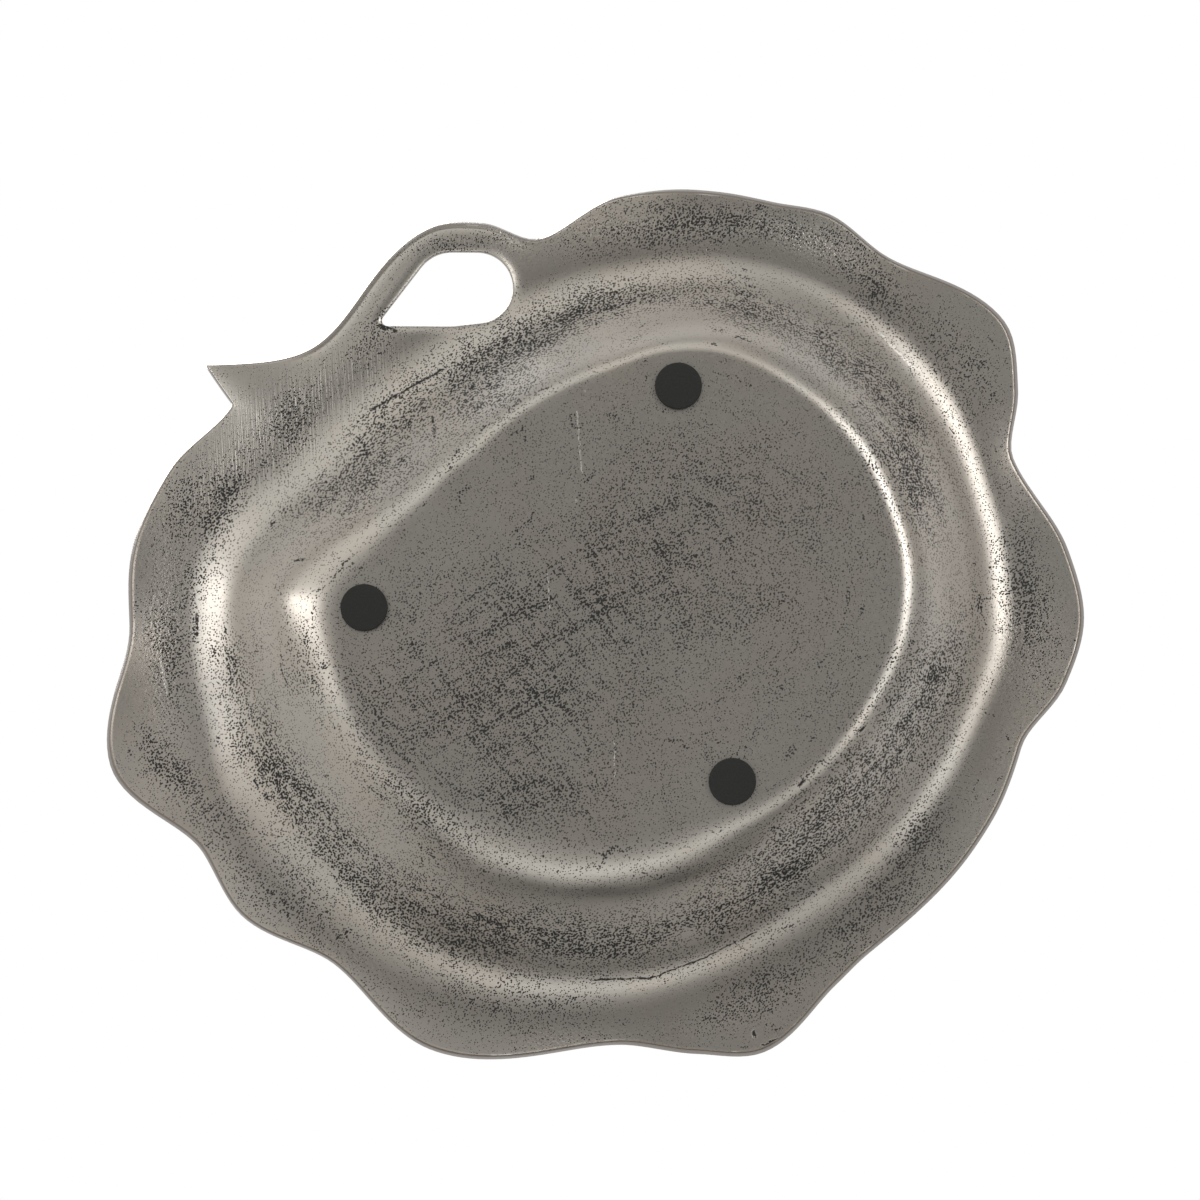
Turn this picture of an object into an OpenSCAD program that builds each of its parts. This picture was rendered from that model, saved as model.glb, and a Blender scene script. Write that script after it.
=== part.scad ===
// Leaf-shaped serving platter: one cast metal shell with a ruffled rim and a stem handle,
// standing on three stuck-on pads. The table is at Z = 0 and the dish opens upwards.

/* [Plan] */
// Length of the platter along X, from lobe to lobe
platter_length = 404; // [344:5:464]

/* [Shell] */
// Thickness of the cast metal
shell_t = 4; // [3:0.5:5]
// Rise of the wall, from the flat base to the shoulder where the rim starts
wall_rise = 37; // [28:1:44]
// Tilt of the rim, as a rise for each millimetre out
rim_tilt = 0.06; // [0:0.02:0.2]
// Strength of the ruffles, which curl the rim up in its hollows and down in its lobes
ruffle = 1; // [0:0.1:1.5]
// Outward lean of the cast edge, between its lower and upper corners
edge_lean = 2; // [0.5:0.5:2.5]

/* [Pads] */
// Diameter of a pad
pad_d = 19; // [15:0.5:22]
// Thickness of a pad's foam disc
pad_t = 2.5; // [1.5:0.5:5]
// Diameter of the adhesive film under a pad
film_d = 18.4; // [12:0.2:18.8]
// Thickness of the adhesive film
film_t = 0.3; // [0.2:0.1:0.6]

/* [Hidden] */

// Kinds of run from one rim point to the next: ROUND eases in and out, STRAIGHT is a cut,
// and FLARE sweeps away from a sharp tip
ROUND = 0;
STRAIGHT = 1;
FLARE = 2;
flare_power = 2.2;

// Edge of the rim, going round from +X: [angle, reach, kind of the run that follows].
// Crests and hollows alternate, and the stem with its sharp tip lies between 210 and 261 degrees.
RIM_LINE = [
    [0, 203, ROUND], [8, 197.5, ROUND], [17, 185, ROUND], [24, 185.3, ROUND], [32, 184, ROUND],
    [51, 179.5, ROUND], [57, 182, ROUND], [69, 193, ROUND], [77, 185.5, ROUND], [87, 177.5, ROUND],
    [111, 192, ROUND], [127, 180.8, ROUND], [141, 193, ROUND], [149, 190.5, ROUND], [163, 211, ROUND],
    [179, 194.5, ROUND], [187, 195.5, ROUND], [199, 189.5, ROUND], [210.5, 177.5, STRAIGHT],
    [213, 196, FLARE], [226.5, 164.5, ROUND], [247, 179.5, ROUND], [254, 173.5, ROUND],
    [261, 162, ROUND], [273, 178.5, ROUND],
    [286, 186.5, ROUND], [293, 190, ROUND], [301, 196.5, ROUND], [307.5, 194.8, ROUND], [324, 211, ROUND],
    [331.5, 200.5, ROUND], [339, 187, ROUND], [352, 198.6, ROUND]
];

// Shoulder, where the wall has turned into the rim, and edge of the flat base: [angle, reach]
SHOULDER_LINE = [
    [0, 174.5], [18, 166.5], [40, 162], [60, 159.5], [80, 162.5], [105, 168], [130, 172], [150, 173.5],
    [168, 169.5], [182, 170], [194, 166], [208, 148.5], [222, 142], [238, 138.5], [254, 141.5], [272, 150],
    [288, 161.5], [305, 171], [325, 177], [343, 174]
];
BASE_LINE = [
    [0, 121], [15, 113], [30, 105.5], [46, 97.5], [70, 86.5], [110, 86.5], [135, 96], [150, 101],
    [168, 104.5], [183, 104.5], [196, 94.5], [206, 88.5], [218, 84.5], [232, 83.5], [246, 87.5], [259, 93.5],
    [272, 101.5], [285, 113.5], [296, 120.5], [312, 123.5], [330, 126], [346, 125.5]
];

// How softly the wall leaves the base, and how softly it meets the rim: [angle, share of the wall's run]
SOFT_LINE = [
    [0, 0.25], [40, 0.27], [70, 0.42], [110, 0.42], [138, 0.28], [165, 0.36], [184, 0.55], [200, 0.34],
    [220, 0.2], [260, 0.2]
];
END_LINE = [[0, 0.5], [45, 0.5], [70, 0.4], [110, 0.4], [140, 0.5]];

// How the rim curls towards its edge: [angle, rise for each millimetre of its width]
CURL_LINE = [
    [0, -0.04], [8, -0.01], [20, 0.01], [36, 0.01], [60, 0], [82, -0.03], [92, 0.05], [110, 0.03],
    [128, 0.08], [144, 0.07], [154, 0], [164, -0.02], [171, -0.04], [177, 0], [186, -0.05], [198, 0],
    [208, 0.03], [214, 0.01], [224, 0.06], [252, 0.02], [273, 0.05], [283, -0.04], [294, -0.04],
    [306, 0.01], [318, -0.07], [330, -0.06], [339, 0.03], [344, 0], [351, -0.06]
];

// Middle of the base, against the middle of the rim
base_at = [0, 5];

// Fineness of the shell: angle between sections, and steps along each part of a section
section_step = 3.4;
wall_steps = 9;
rim_steps = 5;
corner_r = 1;

// Finger hole under the stem: centres of its round end, its crown and its narrow end
hole_round = [-50, -138];
hole_round_r = 15.2;
hole_crown = [-60.5, -137.5];
hole_crown_r = 15.8;
hole_narrow = [-87, -124.5];
hole_narrow_r = 2.5;
hole_depth = 80;

// Where the pads are stuck on the base
PAD_AT = [[33.5, -91], [-94, -0.5], [55, 70]];

pad_stack = pad_t + film_t;
base_z = pad_stack;

metal = [0.45, 0.44, 0.42];
foam = [0.11, 0.11, 0.11];
glue = [0.82, 0.80, 0.72];

function dot_xy(a) = [cos(a), sin(a)];
function wrap(a) = a - 360 * floor(a / 360);

// A line is a closed list of [angle, reach] round the middle. A rise or fall that goes on through a
// point flows through it, and a crest or a hollow is level there.
function next_in(line, k) = line[(k + 1) % len(line)];
function run_slope(line, k) =
    (next_in(line, k)[1] - line[k][1]) / wrap(next_in(line, k)[0] - line[k][0]);
function slope_at(line, k) =
    let(
        before = run_slope(line, (k + len(line) - 1) % len(line)),
        after = run_slope(line, k % len(line))
    )
    before * after <= 0 ? 0 : 2 * before * after / (before + after);

// Reach at the share t of the run that follows point k
function along_run(line, k, t) =
    let(
        p = line[k],
        q = next_in(line, k),
        span = wrap(q[0] - p[0])
    )
    p[2] == STRAIGHT ? p[1] + (q[1] - p[1]) * t
    : p[2] == FLARE ? p[1] + (q[1] - p[1]) * (1 - pow(1 - t, flare_power))
    : p[1] * (2 * t * t * t - 3 * t * t + 1) + span * slope_at(line, k) * (t * t * t - 2 * t * t + t)
        + q[1] * (3 * t * t - 2 * t * t * t) + span * slope_at(line, k + 1) * (t * t * t - t * t);

// Reach of a line at any angle
function run_before(line, a) = max([for (k = [0 : len(line) - 1]) if (line[k][0] <= a) k]);
function reach(line, a) =
    let(
        k = run_before(line, wrap(a)),
        span = wrap(next_in(line, k)[0] - line[k][0])
    )
    along_run(line, k, (wrap(a) - line[k][0]) / span);

// Sections of the rim as [angle, reach], with one on every listed crest, hollow and corner
function rim_run(k) =
    let(
        span = wrap(next_in(RIM_LINE, k)[0] - RIM_LINE[k][0]),
        n = max(1, round(span / section_step))
    )
    [for (i = [0 : n - 1]) [RIM_LINE[k][0] + span * i / n, along_run(RIM_LINE, k, i / n)]];
SECTIONS = [for (k = [0 : len(RIM_LINE) - 1]) each rim_run(k)];

// Plan of the rim's edge, which sets the scale and the middle of everything else
PATTERN = [for (s = SECTIONS) s[1] * dot_xy(s[0])];
PATTERN_X = [for (p = PATTERN) p[0]];
PATTERN_Y = [for (p = PATTERN) p[1]];
plan_k = platter_length / (max(PATTERN_X) - min(PATTERN_X));
pattern_mid = [(max(PATTERN_X) + min(PATTERN_X)) / 2, (max(PATTERN_Y) + min(PATTERN_Y)) / 2];
function placed(p) = (p - pattern_mid) * plan_k;

// One half of a section, as [distance out from the base's edge, height above the base]
function bezier(a, b, c, d, t) =
    a * pow(1 - t, 3) + 3 * b * pow(1 - t, 2) * t + 3 * c * (1 - t) * t * t + d * pow(t, 3);
function wall_point(run, soft, t) = [
    bezier(0, soft[0] * run, (1 - soft[1]) * run, run, t),
    bezier(0, 0, wall_rise - rim_tilt * soft[1] * run, wall_rise, t)
];
function rim_point(run, curl, width, u) =
    [run + width * u, wall_rise + width * (rim_tilt * u + curl * u * u)];

// Underside of a section, out to the edge's lower corner
function underside(run, soft, curl, width) = [
    for (i = [0 : wall_steps]) wall_point(run, soft, i / wall_steps),
    for (i = [1 : rim_steps]) rim_point(run, curl, width, i / rim_steps)
];

// The same line moved up square to itself by the shell's thickness
function square_to(line, i) =
    let(
        before = line[max(0, i - 1)],
        after = line[min(len(line) - 1, i + 1)],
        along = (after - before) / norm(after - before)
    )
    [-along[1], along[0]];
function upper(line) = [for (i = [0 : len(line) - 1]) line[i] + shell_t * square_to(line, i)];

// Closed half section: underside, edge with its two eased corners, then the upper side back in
function section(run, soft, curl, width) =
    let(
        low = underside(run, soft, curl, width - edge_lean),
        high = upper(underside(run, soft, curl, width)),
        last = len(low) - 1,
        lean = (high[last] - low[last]) / norm(high[last] - low[last]),
        in_low = (low[last - 1] - low[last]) / norm(low[last - 1] - low[last]),
        in_high = (high[last - 1] - high[last]) / norm(high[last - 1] - high[last])
    )
    [
        for (i = [0 : last - 1]) low[i],
        low[last] + in_low * corner_r,
        low[last] + lean * corner_r,
        high[last] - lean * corner_r,
        high[last] + in_high * corner_r,
        for (i = [last - 1 : -1 : 0]) high[i]
    ];

// Section s set up in space, on the line from the base's edge out to the rim's edge
function ring_points(s) =
    let(
        a = s[0],
        b = placed(base_at + reach(BASE_LINE, a) * dot_xy(a)),
        m = placed(reach(SHOULDER_LINE, a) * dot_xy(a)),
        p = placed(s[1] * dot_xy(a)),
        soft = [reach(SOFT_LINE, a), reach(END_LINE, a)],
        curl = ruffle * reach(CURL_LINE, a)
    )
    [for (q = section(norm(m - b), soft, curl, norm(p - m))) let(
        d = q[0],
        run = norm(m - b),
        xy = d < run ? b + (m - b) * d / run : m + (p - m) * (d - run) / norm(p - m)
    ) [xy[0], xy[1], base_z + q[1]]];

module shell() {
    rings = [for (s = SECTIONS) ring_points(s)];
    count = len(rings);
    deep = len(rings[0]);
    function at(i, j) = (i % count) * deep + j;
    polyhedron(
        points = [for (r = rings) each r],
        faces = [
            [for (i = [0 : count - 1]) at(i, 0)],
            [for (i = [count - 1 : -1 : 0]) at(i, deep - 1)],
            for (i = [0 : count - 1]) for (j = [0 : deep - 2]) each [
                [at(i, j), at(i, j + 1), at(i + 1, j + 1)],
                [at(i, j), at(i + 1, j + 1), at(i + 1, j)]
            ]
        ],
        convexity = 6
    );
}

// Teardrop that a finger goes through, between the stem and the wall
module finger_hole() {
    linear_extrude(height = hole_depth)
        hull() {
            translate(placed(hole_round)) circle(r = hole_round_r * plan_k, $fn = 48);
            translate(placed(hole_crown)) circle(r = hole_crown_r * plan_k, $fn = 48);
            translate(placed(hole_narrow)) circle(r = hole_narrow_r * plan_k, $fn = 16);
        }
}

module casting() {
    color(metal)
        difference() {
            shell();
            finger_hole();
        }
}

// Foam disc that stands on the table
module pad(k) {
    color(foam)
        translate(placed(PAD_AT[k]))
            cylinder(d = pad_d, h = pad_t, $fn = 64);
}

// Adhesive film between a foam disc and the base
module pad_film(k) {
    color(glue)
        translate([each placed(PAD_AT[k]), pad_t])
            cylinder(d = film_d, h = film_t, $fn = 64);
}

casting();
pad(0);  // pad_front
pad(1);  // pad_left
pad(2);  // pad_back
pad_film(0);  // film_front
pad_film(1);  // film_left
pad_film(2);  // film_back
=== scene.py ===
# %% [markdown]
# # A cast metal platter, seen from underneath
# The platter is one sand casting: a flat base, a wall that curves up, a ruffled rim, and a stem at one
# side that bends round into a finger loop. Three black stick-on pads keep it off the table.
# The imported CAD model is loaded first, and every piece that follows is built in its frame, in metres.

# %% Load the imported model
import math

import bmesh
import bpy
from mathutils import Matrix, Vector, noise


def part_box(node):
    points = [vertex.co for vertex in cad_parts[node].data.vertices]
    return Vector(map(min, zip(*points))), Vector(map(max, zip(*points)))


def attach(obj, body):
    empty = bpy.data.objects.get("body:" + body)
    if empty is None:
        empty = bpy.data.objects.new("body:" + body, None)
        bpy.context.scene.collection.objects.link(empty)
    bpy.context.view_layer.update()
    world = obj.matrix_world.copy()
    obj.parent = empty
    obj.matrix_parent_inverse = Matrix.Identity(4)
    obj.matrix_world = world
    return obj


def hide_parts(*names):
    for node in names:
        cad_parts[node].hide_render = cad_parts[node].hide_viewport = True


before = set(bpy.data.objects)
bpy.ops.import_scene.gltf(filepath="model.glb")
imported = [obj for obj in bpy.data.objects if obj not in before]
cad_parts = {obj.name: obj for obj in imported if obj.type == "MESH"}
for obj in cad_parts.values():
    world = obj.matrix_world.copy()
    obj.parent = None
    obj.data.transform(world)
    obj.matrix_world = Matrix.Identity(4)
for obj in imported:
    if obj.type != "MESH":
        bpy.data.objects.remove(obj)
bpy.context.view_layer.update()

MM = 0.001

# %% [markdown]
# ## Camera
# The photograph looks at the underside, nearly square on. Here the platter stands the right way up, so
# the camera goes below it and looks up. X runs to the picture's right and Y runs down the picture.
# The lens is long, because the far and the near rim are drawn at almost the same scale.

# %% Camera
PHOTO_SIDE = 1200
FOCAL_PIXELS = 4472
SENSOR_WIDTH = 36
CAMERA_DISTANCE = 1800 * MM
CAMERA_TILT = math.radians(5)
AIM_RIGHT = 1.7 * MM
AIM_DOWN = -4.9 * MM

picture_right = Vector((1, 0, 0))
picture_down = Vector((0, math.cos(CAMERA_TILT), math.sin(CAMERA_TILT)))
into_picture = picture_right.cross(picture_down)

camera = bpy.data.objects.new("camera", bpy.data.cameras.new("camera"))
camera.data.sensor_width = SENSOR_WIDTH
camera.data.lens = SENSOR_WIDTH * FOCAL_PIXELS / PHOTO_SIDE
camera_spot = AIM_RIGHT * picture_right + AIM_DOWN * picture_down - CAMERA_DISTANCE * into_picture
turn = Matrix((picture_right, -picture_down, -into_picture)).transposed().to_4x4()
camera.matrix_world = Matrix.Translation(camera_spot) @ turn
bpy.context.scene.collection.objects.link(camera)
bpy.context.scene.camera = camera
bpy.context.scene.view_settings.view_transform = "Standard"
print("lens", round(camera.data.lens, 1), "mm, camera at", [round(v, 3) for v in camera_spot])

# %% [markdown]
# ## The lines of the casting
# A pattern maker draws three lines round the platter: the edge of the rim, the shoulder where the wall
# has turned into the rim, and the edge of the flat base. Each line is a short list of angles and reaches
# in millimetres. A curve that levels off at every crest and hollow runs through the points, so a lobe
# never swells past the point that was chosen for it. Two more lists say how softly the wall leaves the
# base and meets the rim, as shares of its run: it leaves the base most softly at the left and the front.
# Polishing rounded the base's edge about a millimetre more on the right, and a list of its own holds that.
# The last list holds the ruffles: how far the rim curls up in its hollows and down in its lobes, for each
# millimetre of its width.

# %% Lines round the middle
ROUND, STRAIGHT, FLARE = 0, 1, 2
FLARE_POWER = 2.2
RIM_LINE = [
    (0, 203, ROUND), (8, 197.5, ROUND), (17, 185, ROUND), (24, 185.3, ROUND), (32, 184, ROUND),
    (51, 179.5, ROUND), (57, 182, ROUND), (69, 193, ROUND), (77, 185.5, ROUND), (87, 177.5, ROUND),
    (111, 192, ROUND), (127, 180.8, ROUND), (141, 193, ROUND), (149, 190.5, ROUND), (163, 211, ROUND),
    (179, 194.5, ROUND), (187, 195.5, ROUND), (199, 189.5, ROUND), (210.5, 177.5, STRAIGHT),
    (213, 196, FLARE), (226.5, 164.5, ROUND), (247, 179.5, ROUND), (254, 173.5, ROUND),
    (261, 162, ROUND), (273, 178.5, ROUND), (286, 186.5, ROUND), (293, 190, ROUND), (301, 196.5, ROUND),
    (307.5, 194.8, ROUND), (324, 211, ROUND), (331.5, 200.5, ROUND), (339, 187, ROUND), (352, 198.6, ROUND),
]
SHOULDER_LINE = [
    (0, 174.5), (18, 166.5), (40, 162), (60, 159.5), (80, 162.5), (105, 168), (130, 172), (150, 173.5),
    (168, 169.5), (182, 170), (194, 166), (208, 148.5), (222, 142), (238, 138.5), (254, 141.5), (272, 150),
    (288, 161.5), (305, 171), (325, 177), (343, 174),
]
BASE_LINE = [
    (0, 121), (15, 113), (30, 105.5), (46, 97.5), (70, 86.5), (110, 86.5), (135, 96), (150, 101),
    (168, 104.5), (183, 104.5), (196, 94.5), (206, 88.5), (218, 84.5), (232, 83.5), (246, 87.5), (259, 93.5),
    (272, 101.5), (285, 113.5), (296, 120.5), (312, 123.5), (330, 126), (346, 125.5),
]
SOFT_LINE = [
    (0, 0.25), (40, 0.27), (70, 0.42), (110, 0.42), (138, 0.28), (165, 0.36), (184, 0.55), (200, 0.34),
    (220, 0.2), (260, 0.2),
]
END_LINE = [(0, 0.5), (45, 0.5), (70, 0.4), (110, 0.4), (140, 0.5)]
POLISH_LINE = [(0, 0.1), (40, 0.05), (68, 0), (275, 0), (310, 0.1)]
CURL_LINE = [
    (0, -0.04), (8, -0.01), (20, 0.01), (36, 0.01), (60, 0), (82, -0.03), (92, 0.05), (110, 0.03),
    (128, 0.08), (144, 0.07), (154, 0), (164, -0.02), (171, -0.04), (177, 0), (186, -0.05), (198, 0),
    (208, 0.03), (214, 0.01), (224, 0.06), (252, 0.02), (273, 0.05), (283, -0.04), (294, -0.04),
    (306, 0.01), (318, -0.07), (330, -0.06), (339, 0.03), (344, 0), (351, -0.06),
]


def run_slope(line, k):
    """How much a line changes for each degree, from its point k to the next."""
    start, end = line[k % len(line)], line[(k + 1) % len(line)]
    return (end[1] - start[1]) / ((end[0] - start[0]) % 360)


def slope_at(line, k):
    """The slope of the curve at point k: level at a crest or a hollow, or else between the two runs."""
    before, after = run_slope(line, k - 1), run_slope(line, k)
    if before * after <= 0:
        return 0
    return 2 * before * after / (before + after)


def reach_of(line, angle):
    """How far a line lies from the middle at an angle, in millimetres."""
    angle = angle % 360
    k = max(i for i, point in enumerate(line) if point[0] <= angle)
    start, end = line[k], line[(k + 1) % len(line)]
    span = (end[0] - start[0]) % 360
    t = (angle - start[0]) / span
    kind = start[2] if len(start) > 2 else ROUND
    if kind == STRAIGHT:
        return start[1] + (end[1] - start[1]) * t
    if kind == FLARE:
        return start[1] + (end[1] - start[1]) * (1 - (1 - t) ** FLARE_POWER)
    rise = t * t * (3 - 2 * t)
    leaving = span * slope_at(line, k) * (t ** 3 - 2 * t * t + t)
    arriving = span * slope_at(line, k + 1) * (t ** 3 - t * t)
    return start[1] * (1 - rise) + end[1] * rise + leaving + arriving


print("the rim reaches from", min(p[1] for p in RIM_LINE), "to", max(p[1] for p in RIM_LINE), "mm")

# %% [markdown]
# ## One section of the shell
# A cut from the base out to the rim has the same make-up all the way round: a wall that leaves the base
# tightly and meets the rim softly, then the rim, then the cast edge. Only its lengths change with the
# angle. The upper side is the underside moved square to itself by the thickness of the metal.
# The scale and the middle come from the CAD casting's own box, so the two always agree.

# %% Section of the shell
BASE_AT = Vector((0, 5))
WALL_RISE = 37
RIM_TILT = 0.06
SHELL_T = 4
EDGE_LEAN = 2
CORNER_R = 1
PATTERN_STEPS = 720
HALVINGS = 40
BASE_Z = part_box("film_left")[1].z / MM


def toward(angle):
    """A step of length 1 from the middle, at an angle round from +X."""
    return Vector((math.cos(math.radians(angle)), math.sin(math.radians(angle))))


pattern_angles = [360 * k / PATTERN_STEPS for k in range(PATTERN_STEPS)]
pattern = [reach_of(RIM_LINE, a) * toward(a) for a in pattern_angles]
pattern_low = Vector((min(p.x for p in pattern), min(p.y for p in pattern)))
pattern_high = Vector((max(p.x for p in pattern), max(p.y for p in pattern)))
casting_low, casting_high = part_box("casting")
PLAN_SCALE = (casting_high.x - casting_low.x) / MM / (pattern_high.x - pattern_low.x)


def placed(point):
    """A point of the pattern, moved and scaled to the CAD casting."""
    return (point - (pattern_low + pattern_high) / 2) * PLAN_SCALE


class Section:
    """The cut through the shell at one angle. Distances run out from the base's edge, in millimetres."""

    def __init__(self, angle):
        self.angle = angle
        self.base = placed(BASE_AT + reach_of(BASE_LINE, angle) * toward(angle))
        self.shoulder = placed(reach_of(SHOULDER_LINE, angle) * toward(angle))
        self.edge = placed(reach_of(RIM_LINE, angle) * toward(angle))
        self.run = (self.shoulder - self.base).length
        self.width = (self.edge - self.shoulder).length
        self.start_pull = reach_of(SOFT_LINE, angle) + reach_of(POLISH_LINE, angle)
        self.end_pull = reach_of(END_LINE, angle)
        self.curl = reach_of(CURL_LINE, angle)

    def plan(self, distance):
        """Where a distance along the cut lies, seen from above."""
        if distance < self.run:
            return self.base.lerp(self.shoulder, distance / self.run)
        return self.shoulder.lerp(self.edge, (distance - self.run) / self.width)

    def underside(self, s, trim):
        """Distance, height and slope at s, which is 0 to 1 up the wall and 1 to 2 along the rim."""
        if s < 1:
            near, far = self.start_pull * self.run, (1 - self.end_pull) * self.run
            out = 3 * near * (1 - s) ** 2 * s + 3 * far * (1 - s) * s * s + self.run * s ** 3
            arrive = WALL_RISE - RIM_TILT * (self.run - far)
            up = 3 * arrive * (1 - s) * s * s + WALL_RISE * s ** 3
            out_rate = 3 * near * (1 - s) ** 2 + 6 * (far - near) * (1 - s) * s + 3 * (self.run - far) * s * s
            up_rate = 6 * arrive * (1 - s) * s + 3 * (WALL_RISE - arrive) * s * s
        else:
            width = self.width - trim
            share = s - 1
            out = self.run + width * share
            up = WALL_RISE + width * (RIM_TILT * share + self.curl * share * share)
            out_rate = width
            up_rate = width * (RIM_TILT + 2 * self.curl * share)
        return Vector((out, up)), Vector((out_rate, up_rate)).normalized()

    def low(self, s):
        return self.underside(s, EDGE_LEAN)[0]

    def high(self, s):
        point, along = self.underside(s, 0)
        return point + SHELL_T * Vector((-along.y, along.x))


def find(rising, target, start, end):
    """Where a rising function reaches the target, by halving the range."""
    for _ in range(HALVINGS):
        middle = (start + end) / 2
        if rising(middle) < target:
            start = middle
        else:
            end = middle
    return (start + end) / 2


print("plan scale", round(PLAN_SCALE, 4), "base at", BASE_Z, "mm")

# %% [markdown]
# ## The finger hole
# The stem rises from the wall, runs to a pointed tip at one end and closes into a loop at the other. The
# hole inside it is a teardrop: two round ends and a narrow one, with straight sides between them. The
# distance to that outline says which part of a section is open, and how far the metal's edge is rounded.

# %% Distance to the finger hole
HOLE_ENDS = [(Vector((-50, -138)), 15.2), (Vector((-60.5, -137.5)), 15.8), (Vector((-87, -124.5)), 2.5)]
# Angles before, inside and after the hole, where the search for its two ends starts
HOLE_FROM, HOLE_WITHIN, HOLE_TO = 225, 245, 268
UP_THE_WALL = 0.5
SEARCH_STEPS = 200
FINER_STEPS = (0.1, 0.01, 0.001)


def to_tapered_bar(point, start, start_r, end, end_r):
    """Distance from a point to the outline round two circles and the straight sides between them."""
    axis = end - start
    length = axis.length
    along = (point - start).dot(axis) / length
    across = abs((point - start).cross(axis)) / length
    sine = (start_r - end_r) / length
    cosine = math.sqrt(1 - sine * sine)
    shifted = along - across * sine / cosine
    if shifted <= 0:
        return math.hypot(along, across) - start_r
    if shifted >= length:
        return math.hypot(along - length, across) - end_r
    return across * cosine + along * sine - start_r


def to_hole(point):
    """Distance from a point to the hole's outline, below 0 inside it."""
    ends = [(placed(middle), radius * PLAN_SCALE) for middle, radius in HOLE_ENDS]
    pairs = [(0, 1), (1, 2), (0, 2)]
    return min(to_tapered_bar(point, *ends[a], *ends[b]) for a, b in pairs)


def nearest_hole(section):
    """The distance along a section that comes nearest to the hole, and how near that is."""
    first = section.run * UP_THE_WALL
    rest = section.width + section.run * (1 - UP_THE_WALL)
    steps = [first + rest * k / SEARCH_STEPS for k in range(SEARCH_STEPS)]
    near = min(steps, key=lambda d: to_hole(section.plan(d)))
    for step in FINER_STEPS:
        while to_hole(section.plan(near + step)) < to_hole(section.plan(near)):
            near += step
        while to_hole(section.plan(near - step)) < to_hole(section.plan(near)):
            near -= step
    return near, to_hole(section.plan(near))


HOLE_START = find(lambda a: -nearest_hole(Section(a))[1], 0, HOLE_FROM, HOLE_WITHIN)
HOLE_END = find(lambda a: nearest_hole(Section(a))[1], 0, HOLE_WITHIN, HOLE_TO)
print("the finger hole lies from", round(HOLE_START, 2), "to", round(HOLE_END, 2), "degrees")

# %% [markdown]
# ## Where the sections are cut
# Sections one degree apart are fine enough for the rim. They come closer together at the stem's sharp
# tip, and closer still at the two ends of the hole, where its outline turns back across the sections.

# %% Angles of the sections
HOLE_CUTS = 44
BESIDE_HOLE = [0.1, 0.25, 0.5, 0.9, 1.4, 2.0]
TIP_FROM, TIP_TO = 208, 222
HALF_STEP = 0.5

hole_middle, hole_half = (HOLE_START + HOLE_END) / 2, (HOLE_END - HOLE_START) / 2
hole_angles = [hole_middle - hole_half * math.cos(math.pi * k / HOLE_CUTS) for k in range(HOLE_CUTS + 1)]
beside_angles = [HOLE_START - gap for gap in BESIDE_HOLE] + [HOLE_END + gap for gap in BESIDE_HOLE]
clear = BESIDE_HOLE[-1] + HALF_STEP
open_angles = [a for a in range(360) if not HOLE_START - clear < a < HOLE_END + clear]
tip_angles = [a + HALF_STEP for a in range(TIP_FROM, TIP_TO)]
angles = sorted(open_angles + tip_angles + beside_angles + hole_angles)
sections = [Section(a) for a in angles]
first_cut = angles.index(hole_angles[0])
last_cut = angles.index(hole_angles[-1])
print(len(sections), "sections, of which", last_cut - first_cut + 1, "cross the hole")

# %% [markdown]
# ## Two rings that make room for the hole
# The mesh is a stack of rings round the platter. Two neighbouring rings part at one end of the hole,
# follow its two sides and join again at the other end. Away from the hole they settle on the shoulder.

# %% Rings on either side of the hole
SETTLE_ANGLE = 30
LOWEST_SIDE = 0.4
RING_GAP = 2.4
GAP_ANGLE = 2.5


def eased(t):
    """A share that starts and ends gently."""
    t = min(max(t, 0), 1)
    return t * t * (3 - 2 * t)


def hole_sides(section):
    """Distances of the two rings along a section: the hole's near side and its far side."""
    if HOLE_START < section.angle < HOLE_END:
        middle = nearest_hole(section)[0]
        near = find(lambda d: -to_hole(section.plan(d)), 0, section.run * LOWEST_SIDE, middle)
        far = find(lambda d: to_hole(section.plan(d)), 0, middle, section.run + section.width)
        return near, far
    past = min((HOLE_START - section.angle) % 360, (section.angle - HOLE_END) % 360)
    end = Section(HOLE_START if (HOLE_START - section.angle) % 360 < 180 else HOLE_END)
    share = nearest_hole(end)[0] / (end.run + end.width)
    own_share = section.run / (section.run + section.width)
    settled = eased(past / SETTLE_ANGLE)
    middle = (share * (1 - settled) + own_share * settled) * (section.run + section.width)
    gap = RING_GAP * eased(past / GAP_ANGLE)
    return middle - gap / 2, middle + gap / 2


sides = [hole_sides(section) for section in sections]
print("the hole is at most", round(max(b - a for a, b in sides), 1), "mm wide along a section")

# %% [markdown]
# ## From sections to rings
# The shell could be a flat disc pushed into shape, but the rim's edge and the hole would then be ragged.
# It is grown from rings instead. Each section is first cut into the same number of points, out along the
# underside, round the cast edge and back in over the upper side, so that point by point they make rings.

# %% Points of a half section
WALL_RINGS = 46
RIM_RINGS = 20
CORNER_STEPS = 4
CORNER_ROOM = 1.5 * CORNER_R
CROWDING = 1.5


def shares(count):
    """Shares of the way to the hole's side, with the rings crowding towards it."""
    return [1 - (1 - k / count) ** CROWDING for k in range(count + 1)]


def corner_arc(point, before, after):
    """A small arc in place of a corner, from the way in to the way out."""
    start = point + (before - point).normalized() * CORNER_R
    end = point + (after - point).normalized() * CORNER_R
    steps = [k / CORNER_STEPS for k in range(CORNER_STEPS + 1)]
    return [start * (1 - t) ** 2 + point * 2 * t * (1 - t) + end * t * t for t in steps]


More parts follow.
